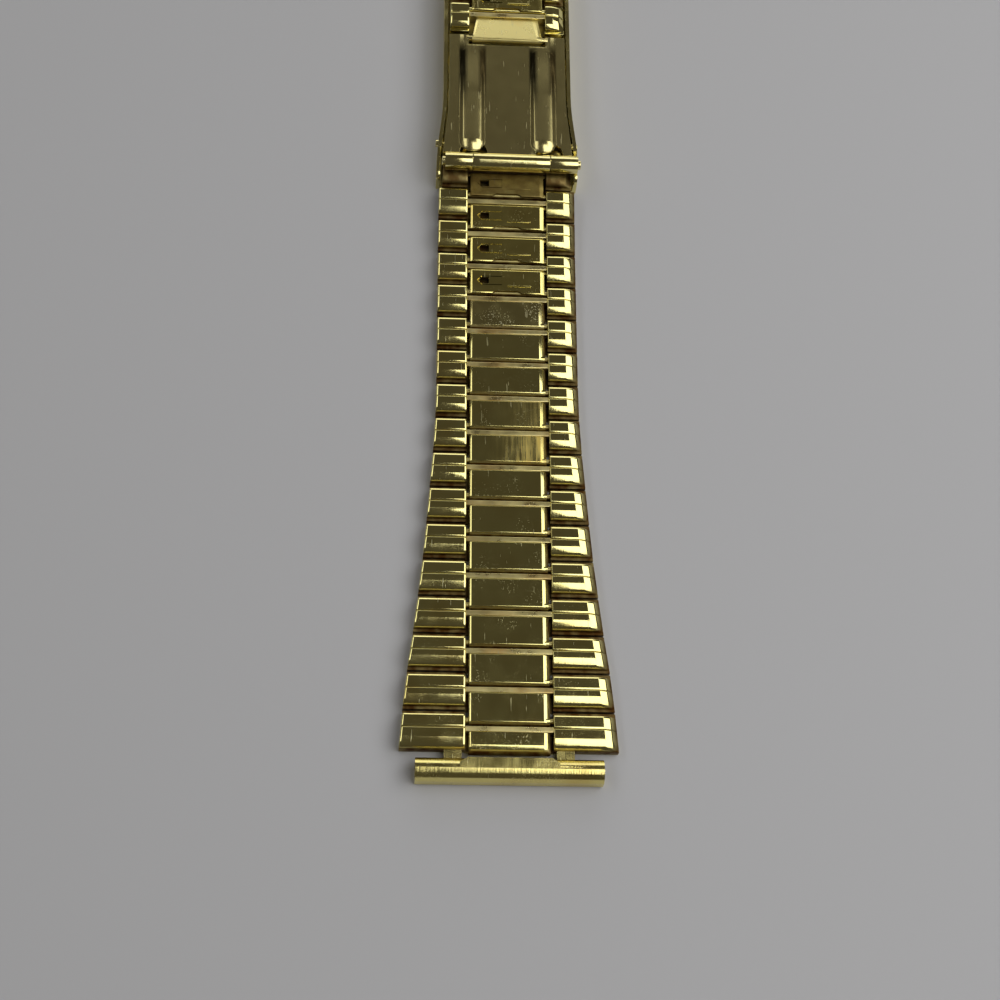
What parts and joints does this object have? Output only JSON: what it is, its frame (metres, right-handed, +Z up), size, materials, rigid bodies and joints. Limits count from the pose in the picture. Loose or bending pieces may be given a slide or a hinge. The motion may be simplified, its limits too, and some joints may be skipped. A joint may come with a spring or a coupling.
{
  "type": "folded-link watch bracelet",
  "caption": "Gold-tone folded-link metal watch bracelet with a closed folding clasp, opening adjusting links and flared lug ends, lying skin side up.",
  "frame": {"origin": "centre of the lower lug tube's bore", "axes": "+X across the band, +Y along the band from the lower lug tube to the upper one, +Z up, towards the skin side"},
  "size_m": [0.0208, 0.1427, 0.0045],
  "materials": {
    "link_frames": "polished gold plate, lightly worn",
    "plates": "polished gold plate with grey tarnish",
    "tube_sheet": "satin gold plate",
    "clasp_sheet": "smooth gold plate",
    "hinge_pins": "gold-plated steel"
  },
  "bodies": {
    "clasp_cover": {"clasp_cover": "clasp_sheet", "cover_hinge_pin": "hinge_pins", "clasp_spring_bar": "hinge_pins"},
    "lower_clasp_end": {"lower_clasp_end": "tube_sheet"},
    "middle_blade": {"middle_blade": "clasp_sheet", "blade_hinge_pin": "hinge_pins"},
    "inner_blade": {"inner_blade": "clasp_sheet"},
    "lower_link_17": {"lower_link_17_frame": "link_frames"},
    "lower_link_17_flap": {"lower_link_17_flap": "plates"},
    "lower_link_16": {"lower_link_16_frame": "link_frames"},
    "lower_link_16_flap": {"lower_link_16_flap": "plates"},
    "lower_link_15": {"lower_link_15_frame": "link_frames"},
    "lower_link_15_flap": {"lower_link_15_flap": "plates"},
    "lower_link_14": {"lower_link_14_frame": "link_frames"},
    "lower_link_14_flap": {"lower_link_14_flap": "plates"},
    "lower_link_13": {"lower_link_13_frame": "link_frames", "lower_link_13_plate": "plates"},
    "lower_link_12": {"lower_link_12_frame": "link_frames", "lower_link_12_plate": "plates"},
    "lower_link_11": {"lower_link_11_frame": "link_frames", "lower_link_11_plate": "plates"},
    "lower_link_10": {"lower_link_10_frame": "link_frames", "lower_link_10_plate": "plates"},
    "lower_link_09": {"lower_link_09_frame": "link_frames", "lower_link_09_plate": "plates"},
    "lower_link_08": {"lower_link_08_frame": "link_frames", "lower_link_08_plate": "plates"},
    "lower_link_07": {"lower_link_07_frame": "link_frames", "lower_link_07_plate": "plates"},
    "lower_link_06": {"lower_link_06_frame": "link_frames", "lower_link_06_plate": "plates"},
    "lower_link_05": {"lower_link_05_frame": "link_frames", "lower_link_05_plate": "plates"},
    "lower_link_04": {"lower_link_04_frame": "link_frames", "lower_link_04_plate": "plates"},
    "lower_link_03": {"lower_link_03_frame": "link_frames", "lower_link_03_plate": "plates"},
    "lower_link_02": {"lower_link_02_frame": "link_frames", "lower_link_02_plate": "plates"},
    "lower_link_01": {"lower_link_01_frame": "link_frames", "lower_link_01_plate": "plates"},
    "lower_lug": {"lower_lug_tube": "tube_sheet"},
    "upper_link_01": {"upper_link_01": "link_frames"},
    "upper_link_02": {"upper_link_02": "link_frames"},
    "upper_link_03": {"upper_link_03": "link_frames"},
    "upper_link_04": {"upper_link_04": "link_frames"},
    "upper_link_05": {"upper_link_05": "link_frames"},
    "upper_link_06": {"upper_link_06": "link_frames"},
    "upper_link_07": {"upper_link_07": "link_frames"},
    "upper_link_08": {"upper_link_08": "link_frames"},
    "upper_link_09": {"upper_link_09": "link_frames"},
    "upper_link_10": {"upper_link_10": "link_frames"},
    "upper_link_11": {"upper_link_11": "link_frames"},
    "upper_link_12": {"upper_link_12": "link_frames"},
    "upper_link_13": {"upper_link_13": "link_frames"},
    "upper_link_14": {"upper_link_14": "link_frames"},
    "upper_lug": {"upper_lug_tube": "tube_sheet"},
    "upper_link_02_flap": {"upper_link_02_flap": "plates"}
  },
  "joints": [
    {"name": "clasp_end_swing", "type": "hinge", "parent": "clasp_cover", "child": "lower_clasp_end", "pos_m": [0, 0.06988, 0.00055], "axis": [1, 0, 0], "range_deg": [-1, 0.5]},
    {"name": "lower_link_17_bend", "type": "hinge", "parent": "lower_clasp_end", "child": "lower_link_17", "pos_m": [0, 0.06728, 0.00055], "axis": [1, 0, 0], "range_deg": [-6, 1]},
    {"name": "lower_link_16_bend", "type": "hinge", "parent": "lower_link_17", "child": "lower_link_16", "pos_m": [0, 0.06338, 0.00055], "axis": [1, 0, 0], "range_deg": [-15, 2]},
    {"name": "lower_link_15_bend", "type": "hinge", "parent": "lower_link_16", "child": "lower_link_15", "pos_m": [0, 0.05949, 0.00028], "axis": [1, 0, 0], "range_deg": [-15, 3]},
    {"name": "lower_link_14_bend", "type": "hinge", "parent": "lower_link_15", "child": "lower_link_14", "pos_m": [0, 0.0556, 0], "axis": [1, 0, 0], "range_deg": [-15, 3]},
    {"name": "lower_link_13_bend", "type": "hinge", "parent": "lower_link_14", "child": "lower_link_13", "pos_m": [0, 0.0517, 0], "axis": [1, 0, 0], "range_deg": [-15, 3]},
    {"name": "lower_link_12_bend", "type": "hinge", "parent": "lower_link_13", "child": "lower_link_12", "pos_m": [0, 0.0478, 0], "axis": [1, 0, 0], "range_deg": [-15, 3]},
    {"name": "lower_link_11_bend", "type": "hinge", "parent": "lower_link_12", "child": "lower_link_11", "pos_m": [0, 0.0439, 0], "axis": [1, 0, 0], "range_deg": [-15, 3]},
    {"name": "lower_link_10_bend", "type": "hinge", "parent": "lower_link_11", "child": "lower_link_10", "pos_m": [0, 0.04, 0], "axis": [1, 0, 0], "range_deg": [-15, 3]},
    {"name": "lower_link_09_bend", "type": "hinge", "parent": "lower_link_10", "child": "lower_link_09", "pos_m": [0, 0.0361, 0], "axis": [1, 0, 0], "range_deg": [-15, 3]},
    {"name": "lower_link_08_bend", "type": "hinge", "parent": "lower_link_09", "child": "lower_link_08", "pos_m": [0, 0.0322, 0], "axis": [1, 0, 0], "range_deg": [-15, 3]},
    {"name": "lower_link_07_bend", "type": "hinge", "parent": "lower_link_08", "child": "lower_link_07", "pos_m": [0, 0.0283, 0], "axis": [1, 0, 0], "range_deg": [-15, 3]},
    {"name": "lower_link_06_bend", "type": "hinge", "parent": "lower_link_07", "child": "lower_link_06", "pos_m": [0, 0.0244, 0], "axis": [1, 0, 0], "range_deg": [-15, 3]},
    {"name": "lower_link_05_bend", "type": "hinge", "parent": "lower_link_06", "child": "lower_link_05", "pos_m": [0, 0.0205, 0], "axis": [1, 0, 0], "range_deg": [-15, 3]},
    {"name": "lower_link_04_bend", "type": "hinge", "parent": "lower_link_05", "child": "lower_link_04", "pos_m": [0, 0.0166, 0], "axis": [1, 0, 0], "range_deg": [-15, 3]},
    {"name": "lower_link_03_bend", "type": "hinge", "parent": "lower_link_04", "child": "lower_link_03", "pos_m": [0, 0.0127, 0], "axis": [1, 0, 0], "range_deg": [-15, 3]},
    {"name": "lower_link_02_bend", "type": "hinge", "parent": "lower_link_03", "child": "lower_link_02", "pos_m": [0, 0.0088, 0], "axis": [1, 0, 0], "range_deg": [-15, 3]},
    {"name": "lower_link_01_bend", "type": "hinge", "parent": "lower_link_02", "child": "lower_link_01", "pos_m": [0, 0.0049, 0], "axis": [1, 0, 0], "range_deg": [-15, 3]},
    {"name": "lower_lug_swing", "type": "hinge", "parent": "lower_link_01", "child": "lower_lug", "pos_m": [0, 0.0026, 0], "axis": [1, 0, 0], "range_deg": [-15, 5]},
    {"name": "clasp_open", "type": "hinge", "parent": "clasp_cover", "child": "middle_blade", "pos_m": [0, 0.09573, -0.0002], "axis": [-1, 0, 0], "range_deg": [0, 160]},
    {"name": "blade_unfold", "type": "hinge", "parent": "middle_blade", "child": "inner_blade", "pos_m": [0, 0.06643, 0.0024], "axis": [1, 0, 0], "range_deg": [0, 160]},
    {"name": "upper_link_01_bend", "type": "hinge", "parent": "inner_blade", "child": "upper_link_01", "pos_m": [0, 0.08263, 0.0024], "axis": [1, 0, 0], "range_deg": [0, 30]},
    {"name": "upper_link_02_bend", "type": "hinge", "parent": "upper_link_01", "child": "upper_link_02", "pos_m": [0, 0.08653, 0.0024], "axis": [1, 0, 0], "range_deg": [0, 15]},
    {"name": "upper_link_03_bend", "type": "hinge", "parent": "upper_link_02", "child": "upper_link_03", "pos_m": [0, 0.09043, 0.0024], "axis": [1, 0, 0], "range_deg": [0, 15]},
    {"name": "upper_link_04_bend", "type": "hinge", "parent": "upper_link_03", "child": "upper_link_04", "pos_m": [0, 0.09433, 0.0024], "axis": [1, 0, 0], "range_deg": [0, 15]},
    {"name": "upper_link_05_bend", "type": "hinge", "parent": "upper_link_04", "child": "upper_link_05", "pos_m": [0, 0.09823, 0.0024], "axis": [1, 0, 0], "range_deg": [-3, 15]},
    {"name": "upper_link_06_bend", "type": "hinge", "parent": "upper_link_05", "child": "upper_link_06", "pos_m": [0, 0.10212, 0.00214], "axis": [1, 0, 0], "range_deg": [-3, 15]},
    {"name": "upper_link_07_bend", "type": "hinge", "parent": "upper_link_06", "child": "upper_link_07", "pos_m": [0, 0.10598, 0.00158], "axis": [1, 0, 0], "range_deg": [-3, 15]},
    {"name": "upper_link_08_bend", "type": "hinge", "parent": "upper_link_07", "child": "upper_link_08", "pos_m": [0, 0.10981, 0.00082], "axis": [1, 0, 0], "range_deg": [-3, 15]},
    {"name": "upper_link_09_bend", "type": "hinge", "parent": "upper_link_08", "child": "upper_link_09", "pos_m": [0, 0.11367, 0.00026], "axis": [1, 0, 0], "range_deg": [-3, 15]},
    {"name": "upper_link_10_bend", "type": "hinge", "parent": "upper_link_09", "child": "upper_link_10", "pos_m": [0, 0.11756, 0], "axis": [1, 0, 0], "range_deg": [-3, 15]},
    {"name": "upper_link_11_bend", "type": "hinge", "parent": "upper_link_10", "child": "upper_link_11", "pos_m": [0, 0.12146, 0], "axis": [1, 0, 0], "range_deg": [-3, 15]},
    {"name": "upper_link_12_bend", "type": "hinge", "parent": "upper_link_11", "child": "upper_link_12", "pos_m": [0, 0.12536, 0], "axis": [1, 0, 0], "range_deg": [-3, 15]},
    {"name": "upper_link_13_bend", "type": "hinge", "parent": "upper_link_12", "child": "upper_link_13", "pos_m": [0, 0.12926, 0], "axis": [1, 0, 0], "range_deg": [-3, 15]},
    {"name": "upper_link_14_bend", "type": "hinge", "parent": "upper_link_13", "child": "upper_link_14", "pos_m": [0, 0.13316, 0], "axis": [1, 0, 0], "range_deg": [-3, 15]},
    {"name": "upper_lug_swing", "type": "hinge", "parent": "upper_link_14", "child": "upper_lug", "pos_m": [0, 0.13706, 0], "axis": [1, 0, 0], "range_deg": [-3, 15]},
    {"name": "lower_link_14_flap_open", "type": "hinge", "parent": "lower_link_14", "child": "lower_link_14_flap", "pos_m": [0, 0.05405, 0.00035], "axis": [-1, 0, 0], "range_deg": [0, 95]},
    {"name": "lower_link_15_flap_open", "type": "hinge", "parent": "lower_link_15", "child": "lower_link_15_flap", "pos_m": [0, 0.05792, 0.00051], "axis": [-1, 0, 0], "range_deg": [0, 95]},
    {"name": "lower_link_16_flap_open", "type": "hinge", "parent": "lower_link_16", "child": "lower_link_16_flap", "pos_m": [0, 0.06181, 0.00079], "axis": [-1, 0, 0], "range_deg": [0, 95]},
    {"name": "lower_link_17_flap_open", "type": "hinge", "parent": "lower_link_17", "child": "lower_link_17_flap", "pos_m": [0, 0.06573, 0.0009], "axis": [-1, 0, 0], "range_deg": [0, 55]},
    {"name": "upper_link_02_flap_open", "type": "hinge", "parent": "upper_link_02", "child": "upper_link_02_flap", "pos_m": [0, 0.08888, 0.00275], "axis": [-1, 0, 0], "range_deg": [0, 95]}
  ]
}
